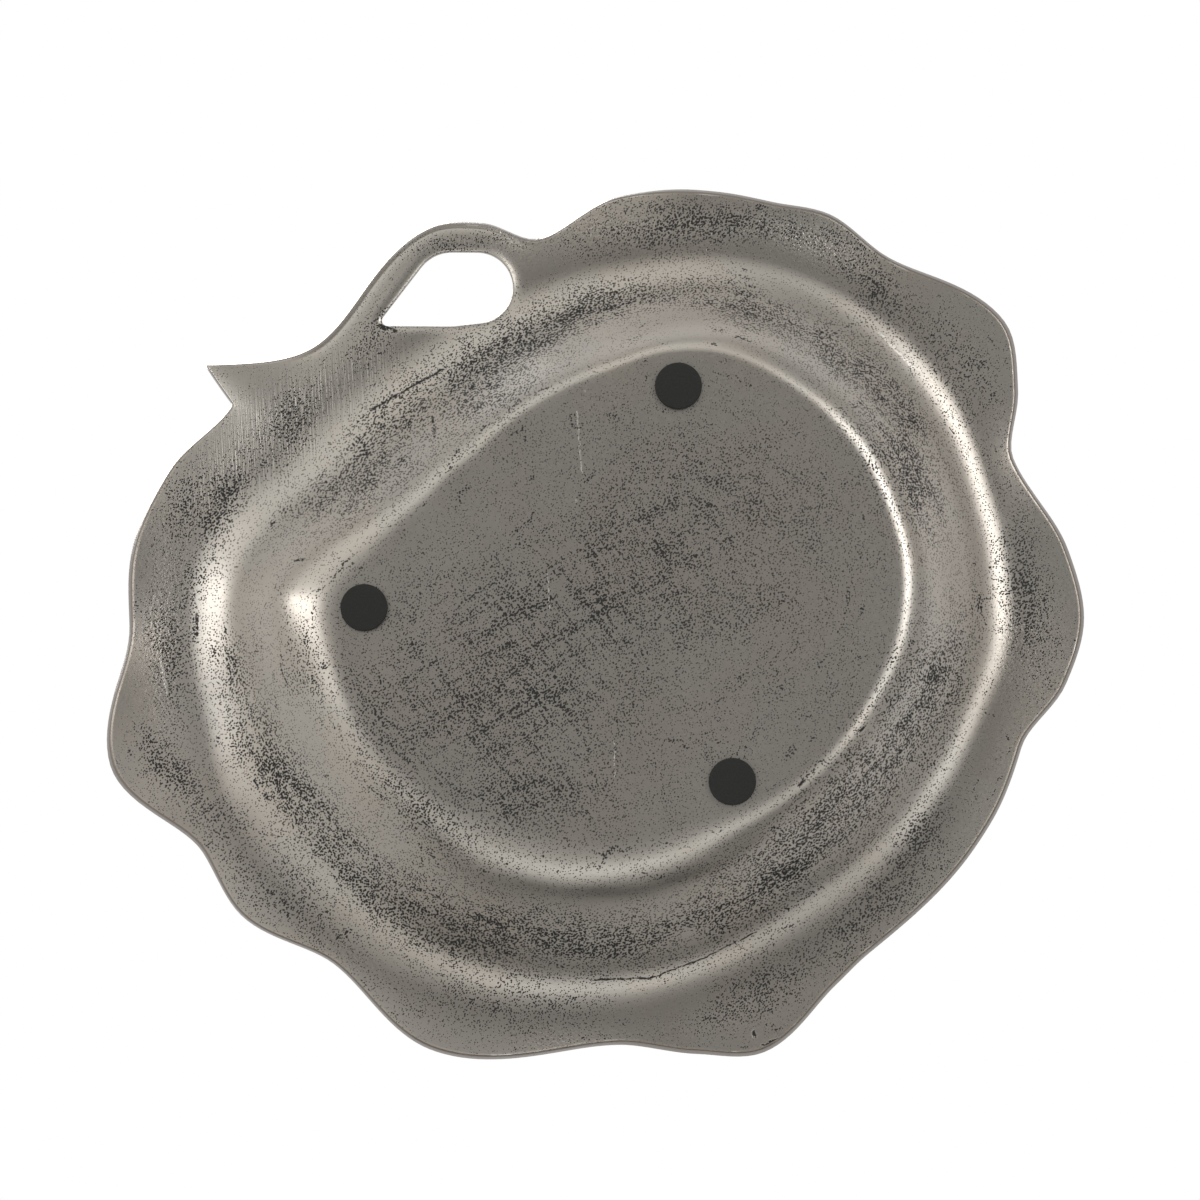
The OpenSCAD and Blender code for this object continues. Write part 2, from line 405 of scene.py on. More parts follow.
def face_points(point_at, near, far):
    """Points of the underside or the upper side, from the base's edge out, and the rim's corner."""

    def s_at(distance):
        return find(lambda s: point_at(s).x, distance, 0, 2)

    corner = point_at(2)
    far_s, last_s = s_at(far), s_at(corner.x - CORNER_ROOM)
    wall = [s_at(near * share) for share in shares(WALL_RINGS)]
    rim = [last_s - (last_s - far_s) * share for share in shares(RIM_RINGS)]
    return [point_at(s) for s in wall + rim[::-1]], corner


def half_section(section, near, far):
    """The closed half section as points of distance and height: out below, round the edge, back above."""
    low, low_corner = face_points(section.low, near, far)
    high, high_corner = face_points(section.high, near, far)
    edge = corner_arc(low_corner, low[-1], high_corner) + corner_arc(high_corner, low_corner, high[-1])
    return low, edge, high[::-1]


halves = [half_section(section, near, far) for section, (near, far) in zip(sections, sides)]
print(sum(len(part) for part in halves[0]), "points in each half section")

# %% [markdown]
# ## Unevenness that a hand finish leaves
# Real sand castings aren't true: the wall sags a little, and the rim was filed and polished by hand. Slow
# noise lifts the whole shell by a fraction of a millimetre, which bends the reflections. The metal beside
# the hole and along the outside of the stem is rounded over, as it is where fingers go.

# %% Height added to a point
SLOW_WAVE, SLOW_RISE = 55, 0.35
FAST_WAVE, FAST_RISE = 21, 0.16
# Heights at which the two noises are cut, so that they differ
SLOW_PLANE, FAST_PLANE = 0, 7
HOLE_ROUND_W, HOLE_ROUND_H = 4.5, 1.5
STEM_ROUND_W, STEM_ROUND_H = 6, 1.3
STEM_FROM, STEM_TO, STEM_FADE = 219, 262, 8
BESIDE_ANGLE = 3


def uneven(spot):
    """How far the shell is off its true height at a spot, in millimetres."""
    slow = noise.noise(Vector((spot.x / SLOW_WAVE, spot.y / SLOW_WAVE, SLOW_PLANE)))
    fast = noise.noise(Vector((spot.x / FAST_WAVE, spot.y / FAST_WAVE, FAST_PLANE)))
    return SLOW_RISE * slow + FAST_RISE * fast


def round_over(distance, width, height):
    """How far a surface has dropped away at a distance from its rounded edge."""
    if distance >= width:
        return 0
    return height * (1 - math.sqrt(1 - (1 - max(distance, 0) / width) ** 2))


def stem_share(angle):
    """1 along the stem, fading to 0 at both its ends."""
    return eased((angle - STEM_FROM) / STEM_FADE) * eased((STEM_TO - angle) / STEM_FADE)


def thinning(section, spot, distance):
    """How far the metal is rounded over at a point, from each of its two faces."""
    near_hole = abs(section.angle - hole_middle) < hole_half + BESIDE_ANGLE
    beside = to_hole(spot) if near_hole else HOLE_ROUND_W
    to_edge = section.run + section.width - EDGE_LEAN - distance
    over_stem = stem_share(section.angle) * round_over(to_edge, STEM_ROUND_W, STEM_ROUND_H)
    return max(round_over(beside, HOLE_ROUND_W, HOLE_ROUND_H), over_stem)


def stand(section, point, face):
    """A point of a section set up in space, in metres; face is -1 below, 0 on the edge and 1 above."""
    spot = section.plan(point.x)
    height = BASE_Z + point.y + uneven(spot)
    if face:
        height -= face * thinning(section, spot, point.x)
    return Vector((spot.x, spot.y, height)) * MM


print("the shell is uneven by up to", SLOW_RISE + FAST_RISE, "mm")

# %% [markdown]
# ## Growing the casting
# A circle with a fan of triangles is the middle of the base. Its rim is extruded into the next ring, that
# ring is put in its place, and so on out along the underside, round the edge and back in above. The last
# ring shrinks to a point, which merging closes. Each vertex notes which face it is on, how far round the
# cast edge it is, how far out it lies along its section, and how near it is to the hollow under the rim,
# where painted shade dulls the metal, because the finish follows the casting.

# %% Places of the rings
DISC_RINGS = 30
HUB_R = 2
SWEEP_R = 150
HOLLOW_W = 10

hub = placed(BASE_AT)


def disc_ring(share, height):
    """A ring of the flat base, at a share of the way from its middle to its edge."""
    spots = [hub.lerp(section.base, share) for section in sections]
    places = [Vector((spot.x, spot.y, BASE_Z + height + uneven(spot))) * MM for spot in spots]
    return places, [(share - 1) * (section.base - hub).length for section in sections]


def wall_rings(part, face):
    """One part of every half section, turned into rings of places and of distances."""
    columns = [[stand(section, point, face) for point in half[part]]
               for section, half in zip(sections, halves)]
    outs = [[point.x for point in half[part]] for half in halves]
    return list(zip(zip(*columns), zip(*outs)))


disc_shares = [k / DISC_RINGS for k in range(1, DISC_RINGS)]
round_corner = [k / CORNER_STEPS for k in range(CORNER_STEPS + 1)]
rows = [(*disc_ring(share, 0), 1, 0) for share in disc_shares]
rows += [(places, outs, 1, 0) for places, outs in wall_rings(0, -1)]
rows += [(*ring, 1, turned) for ring, turned in zip(wall_rings(1, 0), round_corner + round_corner[::-1])]
rows += [(places, outs, 0, 0) for places, outs in wall_rings(2, 1)]
rows += [(*disc_ring(share, SHELL_T), 0, 0) for share in disc_shares[::-1]]
print(len(rows), "rings of", len(sections), "points")

# %% Grow the rings
bm = bmesh.new()
sweep_note = bm.verts.layers.float_vector.new("sweep")
below_note = bm.verts.layers.float.new("below")
edge_note = bm.verts.layers.float.new("edge")
hollow_note = bm.verts.layers.float.new("hollow")


def grow_ring(ring, places):
    """Extrudes a closed ring of vertices into a new ring and puts that in its places."""
    edges = [bm.edges.get((ring[i], ring[i - 1])) for i in range(len(ring))]
    grown = bmesh.ops.extrude_edge_only(bm, edges=edges)
    fresh = {item for item in grown["geom"] if isinstance(item, bmesh.types.BMVert)}
    new_ring = []
    for vert in ring:
        new_ring.append(next(e.other_vert(vert) for e in vert.link_edges if e.other_vert(vert) in fresh))
    for vert, place in zip(new_ring, places):
        vert.co = place
    return new_ring


def note_ring(ring, distances, is_below, round_edge):
    """Writes what the finish needs to know onto the vertices of a ring."""
    for vert, section, distance in zip(ring, sections, distances):
        along = SWEEP_R * toward(section.angle)
        vert[sweep_note] = Vector((along.x, along.y, distance))
        vert[below_note] = is_below
        vert[edge_note] = round_edge
        vert[hollow_note] = is_below * math.exp(-((distance - section.run) / HOLLOW_W) ** 2)


start = bmesh.ops.create_circle(bm, cap_ends=True, cap_tris=True, segments=len(sections), radius=HUB_R * MM)
centre = max(start["verts"], key=lambda vert: len(vert.link_edges))
centre.co = Vector((hub.x, hub.y, BASE_Z + uneven(hub))) * MM
centre[below_note] = 1
rings = [[vert for vert in start["verts"] if vert is not centre]]
for vert, place in zip(rings[0], rows[0][0]):
    vert.co = place
note_ring(rings[0], *rows[0][1:])
for places, *marks in rows[1:]:
    rings.append(grow_ring(rings[-1], places))
    note_ring(rings[-1], *marks)
upper_centre = Vector((hub.x, hub.y, BASE_Z + SHELL_T + uneven(hub))) * MM
grow_ring(rings[-1], [upper_centre] * len(sections))
print(len(bm.verts), "vertices grown in", len(rings), "rings")

# %% [markdown]
# ## Opening the finger hole
# The faces between the two parted rings are deleted on both sides. The open outline below is extruded to
# half way up, where it is noted as cast edge, and then into the outline above. Merging the doubles joins
# them into the hole's wall.

# %% Open the hole
MERGE_GAP = 0.002

low_near = DISC_RINGS - 1 + WALL_RINGS
high_near = len(rings) - (DISC_RINGS - 1) - WALL_RINGS - 1
cuts = range(first_cut, last_cut + 1)
open_faces = []
outlines = []
for near, far in ((low_near, low_near + 1), (high_near, high_near - 1)):
    outlines.append([rings[near][i] for i in cuts] + [rings[far][i] for i in reversed(cuts)])
    for i in cuts[:-1]:
        corners = {rings[near][i], rings[near][i + 1], rings[far][i], rings[far][i + 1]}
        open_faces += [face for face in rings[near][i].link_faces if set(face.verts) == corners]
bmesh.ops.delete(bm, geom=open_faces, context="FACES")
half_way = grow_ring(outlines[0], [(low.co + high.co) / 2 for low, high in zip(*outlines)])
for vert in half_way:
    vert[edge_note] = 1
    vert[below_note] = 1
grow_ring(half_way, [vert.co for vert in outlines[1]])
bmesh.ops.remove_doubles(bm, verts=bm.verts, dist=MERGE_GAP * MM)
bmesh.ops.recalc_face_normals(bm, faces=bm.faces)
open_edges = [e for e in bm.edges if len(e.link_faces) != 2]
print(len(open_faces), "faces deleted,", len(open_edges), "open edges left, volume",
      round(bm.calc_volume() / MM ** 3 / 1000, 1), "cm3")

# %% [markdown]
# ## Where the dark finish stayed
# The platter was blackened and then wiped, so the dark stayed in patches: in the wall's hollows, along
# the rim, and in drifts over the base. Each patch is a soft oval, given by its middle in
# millimetres, its half length, its half width, its turn, and the share of the metal that is dark there.
# Painting the patches onto the vertices keeps the material itself general.

# %% Patches of dark
DARK_WALL = {
    "front, left of the middle": (-25, 131, 45, 11, 5, 0.5),
    "front, far left": (-80, 114, 28, 11, 32, 0.48),
    "front, right of the middle": (30, 128, 30, 8, -12, 0.34),
    "front, far right": (70, 105, 24, 11, -38, 0.48),
    "right, towards the front": (98, 78, 26, 12, 130, 0.42),
    "right": (126, 44, 26, 13, 120, 0.42),
    "right, high up": (142, 20, 20, 10, 100, 0.36),
    "back right, low": (115, -60, 22, 8, 60, 0.24),
    "back right, middle": (131, -52, 20, 9, 72, 0.4),
    "back right": (121, -86, 22, 9, 62, 0.5),
    "back right, far": (100, -105, 13, 6, 50, 0.4),
    "back": (62, -127, 24, 8, 22, 0.4),
    "back, left of the middle": (14, -132, 26, 7, -8, 0.3),
    "behind the loop": (-14, -124, 28, 9, -25, 0.36),
    "below the loop": (-46, -105, 32, 12, -35, 0.42),
    "below the loop, low": (-40, -90, 18, 9, -40, 0.26),
    "below the stem": (-84, -84, 20, 9, -45, 0.42),
    "left of the stem": (-98, -55, 26, 12, -28, 0.4),
    "left of the stem, high": (-127, -80, 17, 8, 115, 0.38),
    "left, low": (-118, 22, 18, 8, 80, 0.16),
    "left": (-150, 20, 15, 8, 80, 0.28),
    "left, towards the front": (-133, 58, 24, 9, 60, 0.5),
    "front left": (-113, 84, 24, 9, 48, 0.38),
}
DARK_RIM = {
    "left, back": (-152, -54, 15, 6, 115, 0.46),
    "left, outer back": (-171, -50, 15, 9, 110, 0.34),
    "left": (-160, -28, 24, 8, 110, 0.28),
    "left, middle": (-176, 12, 24, 8, 85, 0.32),
    "left, front": (-177, 58, 14, 6, 50, 0.4),
    "front left": (-160, 76, 18, 8, 42, 0.28),
    "front left, far": (-130, 110, 28, 12, 40, 0.2),
    "front": (-34, 158, 42, 10, 5, 0.2),
    "front right": (70, 151, 26, 9, -28, 0.32),
    "right, front": (112, 120, 24, 9, -42, 0.32),
    "right, middle": (132, 90, 20, 9, 122, 0.32),
    "right": (177, -12, 26, 9, 82, 0.42),
    "back right": (148, -108, 20, 10, 60, 0.26),
    "back right, far": (113, -143, 24, 9, 48, 0.42),
    "back": (20, -159, 30, 7, -4, 0.42),
    "back, outer": (52, -166, 40, 6, 8, 0.5),
    "loop": (-58, -157, 26, 4, -6, 0.22),
    "stem": (-92, -119, 14, 6, 125, 0.26),
}
DARK_BASE = {
    "all over": (14, 0, 105, 78, -15, 0.12),
    "right of the middle": (46, -44, 44, 22, -12, 0.13),
    "far right": (78, -50, 24, 16, 60, 0.12),
    "across the middle": (-4, -8, 52, 13, -29, 0.06),
    "right": (60, 0, 22, 9, -20, 0.2),
    "left of the middle": (-42, 36, 40, 28, 45, 0.2),
    "front": (-28, 76, 26, 13, 0, 0.2),
    "front left": (-68, 84, 26, 7, 45, 0.22),
    "left": (-88, 42, 22, 10, 62, 0.16),
}
PLAIN_BELOW, PLAIN_ABOVE = 0.035, 0.05
DRIFT_WAVE, DRIFT_PLANE, DRIFT = 45, 3, 0.06


def patch_share(spot, x, y, half_length, half_width, turned):
    """How strongly one soft oval covers a spot."""
    across = spot - Vector((x, y))
    axis = toward(turned)
    along = across.dot(axis) / half_length
    aside = across.cross(axis) / half_width
    return math.exp(-along * along - aside * aside)


def painted(spot, patches):
    """What all the patches of a list add up to at a spot."""
    return sum(most * patch_share(spot, *oval) for *oval, most in patches.values())


def darkness(spot, is_below):
    """The share of the metal that is dark at a spot."""
    drift = DRIFT * noise.noise(Vector((spot.x / DRIFT_WAVE, spot.y / DRIFT_WAVE, DRIFT_PLANE)))
    if not is_below:
        return PLAIN_ABOVE + 2 * max(drift, 0)
    return PLAIN_BELOW + drift + sum(painted(spot, patches) for patches in (DARK_WALL, DARK_RIM, DARK_BASE))


print(len(DARK_WALL) + len(DARK_RIM) + len(DARK_BASE), "patches of dark")

# %% [markdown]
# ## Tool marks and rough skin
# Other things change from place to place too. Near the stem the metal was dressed with a coarse file.
# The outer rim kept the rough skin of the sand mould. On the base the dark sits in straight rows, where
# the casting was drawn over a belt. A smooth line of painted shade lies under the base's front edge, and
# painted shadow lies on the sides of the hole. Each is painted the same way, and each has its own layer.

# %% Paint the layers
FILED = {
    "below the stem": (-118, -78, 40, 17, -35, 1.0),
    "stem": (-105, -98, 34, 13, -25, 0.9),
    "left rim": (-152, -62, 24, 12, 120, 0.7),
    "loop": (-62, -158, 34, 6, -8, 0.6),
}
ROUGH_SKIN = {
    "back": (30, -162, 44, 9, 0, 0.9),
    "back right": (90, -156, 34, 8, 25, 0.8),
    "front": (-12, 172, 24, 9, 4, 0.6),
    "front right": (58, 158, 26, 10, -20, 0.7),
    "front left": (-104, 136, 30, 10, 35, 0.5),
    "right": (176, 8, 22, 10, 95, 0.5),
    "left": (-178, 4, 40, 8, 92, 0.7),
    "loop": (-36, -157, 9, 4, 30, 1.0),
}
BELT_ROWS = {
    "across the middle": (0, -8, 56, 26, -29, 1.0),
    "left of the middle": (-40, 40, 42, 36, 40, 1.0),
}
# A line of painted shade under the base's front edge, which dulls the metal towards the wash.
SHADE_LINE = {
    "under the base's front, left": (-26, 109, 15, 2.6, 10, 0.5),
    "under the base's front, middle": (3, 112, 17, 2.6, 0, 0.8),
    "under the base's front, right": (34, 106.5, 17, 2.6, -18, 0.8),
    "under the base's front, far right": (61, 93.5, 14, 2.4, -34, 0.6),
}
# Painted shadow on the sides of the finger hole, darkest at its narrow end.
HOLE_SHADOW = {"painted shadow at the hole's narrow end": (-87, -125, 12, 8, -20, 0.8), "whole hole": (-65, -134, 34, 24, -20, 0.2)}
PAINT = {"filed": FILED, "rough": ROUGH_SKIN, "rows": BELT_ROWS, "shade_line": SHADE_LINE}

for name in ("dark", "hole_shadow", *PAINT):
    bm.verts.layers.float.new(name)
layers = bm.verts.layers.float
for vert in bm.verts:
    spot = vert.co.xy / MM
    is_below = vert[layers["below"]]
    vert[layers["dark"]] = min(max(darkness(spot, is_below), 0), 1)
    for name, patches in PAINT.items():
        vert[layers[name]] = is_below and min(painted(spot, patches), 1)
    vert[layers["hole_shadow"]] = vert[layers["edge"]] * min(painted(spot, HOLE_SHADOW), 1)
print("painted dark, soot,", ", ".join(PAINT))

# %% Casting object
def finish_piece(bm, name, material):
    """Turns a bmesh into a smooth piece of the object, with its place in its mesh."""
    mesh = bpy.data.meshes.new(name)
    bm.to_mesh(mesh)
    bm.free()
    mesh.polygons.foreach_set("use_smooth", [True] * len(mesh.polygons))
    mesh.materials.append(material)
    piece = bpy.data.objects.new(name, mesh)
    bpy.context.scene.collection.objects.link(piece)
    print(name, "has", len(mesh.polygons), "faces")
    return piece


cast_metal = bpy.data.materials.new("aged cast metal")
casting = finish_piece(bm, "platter_casting", cast_metal)
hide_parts("casting")
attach(casting, "root")

# %% [markdown]
# ## Helpers for materials
# Node trees read best when each node is one line: its kind, what goes into it and its settings.

# %% Node helpers
def add(tree, kind, inputs=None, **settings):
    """Adds a node. An input is a value, or the output of another node that is linked to it."""
    node = tree.nodes.new(kind)
    for name, value in settings.items():
        setattr(node, name, value)
    for name, value in (inputs or {}).items():
        if isinstance(value, bpy.types.NodeSocket):
            tree.links.new(value, node.inputs[name])
        else:
            node.inputs[name].default_value = value
    return node


def calc(tree, operation, a, b=0.0, clamp=False):
    """The result of one sum on one or two values."""
    return add(tree, "ShaderNodeMath", {0: a, 1: b}, operation=operation, use_clamp=clamp).outputs[0]


def step(tree, value, low, high, start=0.0, end=1.0):
    """A soft step: start below low, end above high."""
    inputs = {"Value": value, "From Min": low, "From Max": high, "To Min": start, "To Max": end}
    return add(tree, "ShaderNodeMapRange", inputs, interpolation_type="SMOOTHSTEP").outputs["Result"]


def tint(tree, share, first, second):
    """A colour that goes from the first to the second."""
    node = add(tree, "ShaderNodeMix", {"Factor": share}, data_type="RGBA")
    for socket, value in ((node.inputs[6], first), (node.inputs[7], second)):
        if isinstance(value, bpy.types.NodeSocket):
            tree.links.new(value, socket)
        else:
            socket.default_value = (*value, 1)
    return node.outputs[2]


def noise_at(tree, vector, scale, detail, rough):
    """A soft noise from 0 to 1 at a place."""
    inputs = {"Vector": vector, "Scale": scale, "Detail": detail, "Roughness": rough}
    return add(tree, "ShaderNodeTexNoise", inputs).outputs["Fac"]


def new_group(name, inputs, outputs):
    """A node group with named sockets, given as name and socket kind."""
    tree = bpy.data.node_groups.new(name, "ShaderNodeTree")
    for side, sockets in (("INPUT", inputs), ("OUTPUT", outputs)):
        for socket, kind in sockets.items():
            tree.interface.new_socket(socket, in_out=side, socket_type="NodeSocket" + kind)
    return tree, tree.nodes.new("NodeGroupInput").outputs, tree.nodes.new("NodeGroupOutput").inputs


def attribute(tree, name):
    """Reads a layer that was painted onto the vertices."""
    return add(tree, "ShaderNodeAttribute", attribute_name=name)


def place_in_mm(tree):
    """A point's own place on its piece, in millimetres."""
    place = add(tree, "ShaderNodeTexCoord").outputs["Object"]
    return add(tree, "ShaderNodeVectorMath", {0: place, "Scale": 1 / MM}, operation="SCALE").outputs[0]


def laid_along(tree, vector, turned, stretch):
    """A place turned round Z and shrunk by a stretch each way, so that a noise on it is drawn out."""
    inputs = {"Vector": vector, "Rotation": (0, 0, math.radians(turned)), "Scale": stretch}
    return add(tree, "ShaderNodeMapping", inputs, vector_type="TEXTURE").outputs[0]


def from_middle(tree, value):
    """How far a noise is from its middle level, which is 0 along winding lines."""
    return calc(tree, "ABSOLUTE", calc(tree, "SUBTRACT", value, 0.5))


print("nodes are made by", ", ".join(f.__name__ for f in (add, calc, step, tint, noise_at, new_group)))

# %% [markdown]
# ## Specks that hold the dark finish
# Close up, the dark is thousands of specks, each about half a millimetre wide, where sand grains left pits
# that wiping can't reach. Noise that is cut off at a level gives blots of every size, but real pits are of
# a size and keep apart. Space is split into cells with one point each, and whatever lies near a point is
# dark: a short reach leaves lone specks, and a long one lets them run into a net. The part of a cell that
# is within reach grows with the cube of the reach, so the reach is the cube root of the dark share.

# %% Group of specks
SPECK_SPACING = 0.8
SPECK_STRETCH = 1.3
SPECK_TURN = -45
RAGGED_SCALE = 1.5
REACH_AT_FULL = 0.635
SPECK_RAGGED = 0.22
SPECK_EDGE = 0.025

specks, speck_in, speck_out = new_group(
    "dark specks", {"Vector": "Vector", "Share": "Float"}, {"Mask": "Float"})
cell_size = (SPECK_STRETCH * SPECK_SPACING, SPECK_SPACING, SPECK_SPACING)
askew = laid_along(specks, speck_in["Vector"], SPECK_TURN, cell_size)
cells = add(specks, "ShaderNodeTexVoronoi", {"Vector": askew, "Scale": 1.0}).outputs["Distance"]
frayed = noise_at(specks, askew, RAGGED_SCALE, detail=1.0, rough=0.5)
ragged = calc(specks, "MULTIPLY", frayed, SPECK_RAGGED)
distance = calc(specks, "ADD", cells, calc(specks, "SUBTRACT", ragged, SPECK_RAGGED / 2))
reach = calc(specks, "MULTIPLY", calc(specks, "POWER", speck_in["Share"], 1 / 3), REACH_AT_FULL)
within = calc(specks, "SUBTRACT", reach, distance)
specks.links.new(step(specks, within, -SPECK_EDGE, SPECK_EDGE), speck_out["Mask"])
print("the specks group has", len(specks.nodes), "nodes")

# %% [markdown]
# ## Cracks, creases and scratches
# The foundry and years of use left a few lines: a crack where the sand shifted, creases, pale scratches on
# the base and small dark nicks. Strokes also draw a painted shadow at the hole's narrow end and painted
# highlights along a crease and a ridge. Each is a short stroke between two points. A group turns the distance
# to such a stroke into a mask, and two lists hold the strokes: both ends and the half width, in millimetres.

# %% Group of a stroke
STROKE_WOBBLE, WOBBLE_SCALE = 1.8, 0.35
STROKE_SOFT = 0.6

stroke, stroke_in, stroke_out = new_group(
    "stroke", {"Vector": "Vector", "Start": "Vector", "End": "Vector", "Width": "Float"}, {"Mask": "Float"})


def between(operation, first, second=None):
    """A vector sum inside the stroke group."""
    inputs = {0: first} if second is None else {0: first, 1: second}
    return add(stroke, "ShaderNodeVectorMath", inputs, operation=operation).outputs


shake = add(stroke, "ShaderNodeTexNoise", {
    "Vector": stroke_in["Vector"], "Scale": WOBBLE_SCALE, "Detail": 2.0})
shaken = between("SUBTRACT", shake.outputs["Color"], (0.5, 0.5, 0.5))[0]
wide_shake = between("MULTIPLY", shaken, (STROKE_WOBBLE, STROKE_WOBBLE, 0))[0]
flat = between("MULTIPLY", stroke_in["Vector"], (1, 1, 0))[0]
from_start = between("SUBTRACT", between("ADD", flat, wide_shake)[0], stroke_in["Start"])[0]
whole = between("SUBTRACT", stroke_in["End"], stroke_in["Start"])[0]
along = calc(stroke, "DIVIDE", between("DOT_PRODUCT", from_start, whole)["Value"],
             between("DOT_PRODUCT", whole, whole)["Value"], clamp=True)
nearest = add(stroke, "ShaderNodeVectorMath", {0: whole, "Scale": along}, operation="SCALE").outputs[0]
gap = between("DISTANCE", from_start, nearest)["Value"]
inside = calc(stroke, "SUBTRACT", 1.0, calc(stroke, "DIVIDE", gap, stroke_in["Width"]))
stroke.links.new(step(stroke, inside, 0.0, STROKE_SOFT), stroke_out["Mask"])
print("the stroke group has", len(stroke.nodes), "nodes")

# %% Where the strokes are
DARK_STROKES = {
    "crack below the stem": (-93, -86.5, -63, -103.5, 0.75),
    "crease under the front cove": (-2, 147.3, 22, 146.7, 0.45),
    "crease, further right": (22, 146.7, 43, 139, 0.4),
    "crease, right end": (43, 139, 64, 128.5, 0.35),
    "nick on the left cove": (-164, -2.5, -164, 6, 0.9),
    "nick on the left wall": (-122, -22, -118, -22.5, 0.7),
    "nick on the front left rim": (-135, 72.5, -134, 73.5, 1.3),
    "dot on the back rim": (46.5, -154, 47, -154, 0.8),
    "mark above the base": (-67, -82, -65.5, -73, 0.7),
    # The next stroke is a painted shadow at the hole's narrow end.
    "painted shadow at the hole's narrow end": (-89, -122.4, -83, -120.2, 1.4),
    "pit on the front lobe": (64.5, 169, 65, 170, 1.2),
    "pits at the front edge": (68, 174, 75, 171, 0.8),
    "blot beside the base": (105.5, 49, 108.5, 45.5, 0.7),
    "blot beside the front pad": (82, 69.5, 83.5, 68, 1.0),
}
# Pale strokes are scratches, except those along the crease and the ridge, which are painted highlights.
PALE_STROKES = {
    "long scratch": (-7.5, -81.5, -5.5, -57, 0.32),
    "scratch dot above it": (-4.5, -90.5, -4, -89.5, 0.5),
    "scratch dot below it": (-8, -46, -8, -45, 0.45),
    "short scratch": (-19.5, -16, -18.5, -2, 0.25),
    "front scratch": (7.5, 52, 7.5, 66, 0.16),
    "painted highlight along the crease on the back right wall": (117.5, -119, 131, -105, 0.9),
    "painted highlight along the ridge on the left rim": (-179, 15, -176, 30, 0.8),
    "nick on the loop": (-37, -160.5, -35, -157.5, 0.7),
    "second nick on the loop": (-34, -159.5, -31.5, -157, 0.7),
}
print(len(DARK_STROKES), "dark strokes and", len(PALE_STROKES), "pale ones")

# %% [markdown]
# ## Aged cast metal
# The bare metal is a warm grey aluminium alloy, blackened, wiped and left satin. Five steps build it up:
# how much of each place is dark, the strokes, the colour, the fine relief, and the shader that takes them
# all. Clumps, streaks along the wall, belt rows and tide lines all change the share of dark, and the specks
# group then turns that share into specks.

# %% How much of each place is dark
CLUMP_WAVE, CLUMP_PULL = 11, 2.0
STREAK_LENGTH, STREAK_WIDTH, STREAK_PULL = 33, 2.8, 1.8
ROW_LENGTH, ROW_SPACING, ROW_WIDTH, ROW_SHARE = 70, 5.0, 0.045, 0.5
ROW_TURNS = (-29, 51)
TIDE_WAVE, TIDE_WIDTH, TIDE_SHARE = 26, 0.012, 0.35
TIDE_PLACES = (0.5, 0.6)
LAYERS = ("dark", "hole_shadow", "filed", "rough", "rows", "shade_line", "edge", "below", "hollow")

cast_metal.use_nodes = True
tree = cast_metal.node_tree
tree.nodes.clear()
mm_place = place_in_mm(tree)
notes = {name: attribute(tree, name).outputs["Fac"] for name in LAYERS}
sweep = attribute(tree, "sweep").outputs["Vector"]

clumps = noise_at(tree, mm_place, 1 / CLUMP_WAVE, detail=5.0, rough=0.62)
streak_scale = (1 / STREAK_LENGTH, 1 / STREAK_LENGTH, 1 / STREAK_WIDTH)
streak_place = add(tree, "ShaderNodeMapping", {"Vector": sweep, "Scale": streak_scale}).outputs[0]
streaks = noise_at(tree, streak_place, 1.0, detail=4.0, rough=0.6)
uneven_share = calc(tree, "ADD", step(tree, clumps, 0.0, 1.0, -CLUMP_PULL / 2, CLUMP_PULL / 2),
                    step(tree, streaks, 0.0, 1.0, -STREAK_PULL / 2, STREAK_PULL / 2))
share = calc(tree, "MULTIPLY", notes["dark"], calc(tree, "ADD", uneven_share, 1.0), clamp=True)
for turned in ROW_TURNS:
    row_place = laid_along(tree, mm_place, turned, (ROW_LENGTH, ROW_SPACING, ROW_SPACING))
    row_lines = from_middle(tree, noise_at(tree, row_place, 1.0, detail=2.0, rough=0.4))
    in_row = step(tree, row_lines, 0.0, ROW_WIDTH, ROW_SHARE, 0.0)
    share = calc(tree, "ADD", share, calc(tree, "MULTIPLY", in_row, notes["rows"]), clamp=True)
tide = from_middle(tree, noise_at(tree, mm_place, 1 / TIDE_WAVE, detail=2.0, rough=0.5))
tide_line = step(tree, tide, TIDE_WIDTH / 3, TIDE_WIDTH, TIDE_SHARE, 0.0)
broken_tide = calc(tree, "MULTIPLY", tide_line, step(tree, streaks, *TIDE_PLACES))
share = calc(tree, "ADD", share, broken_tide, clamp=True)
specked = add(tree, "ShaderNodeGroup", {"Vector": mm_place, "Share": share}, node_tree=specks)
print("share of dark mixed from", len(tree.nodes), "nodes")

# %% Strokes on the underside
DARK_BREAKS = (0.33, 0.46)
PALE_BREAKS = (0.32, 0.5)


def strokes(rows):
    """The masks of a list of strokes in one, on the underside alone."""
    mask = 0.0
    for x, y, end_x, end_y, width in rows.values():
        inputs = {"Vector": mm_place, "Start": (x, y, 0), "End": (end_x, end_y, 0), "Width": width}
        line = add(tree, "ShaderNodeGroup", inputs, node_tree=stroke).outputs["Mask"]
        mask = calc(tree, "MAXIMUM", mask, line)
    return calc(tree, "MULTIPLY", mask, notes["below"])


broken = noise_at(tree, mm_place, 1.0, detail=1.0, rough=0.5)
dark_strokes = calc(tree, "MULTIPLY", strokes(DARK_STROKES), step(tree, broken, *DARK_BREAKS))
pale_strokes = calc(tree, "MULTIPLY", strokes(PALE_STROKES), step(tree, broken, *PALE_BREAKS))
black = calc(tree, "MAXIMUM", specked.outputs["Mask"], dark_strokes)
print("with the strokes the tree has", len(tree.nodes), "nodes")

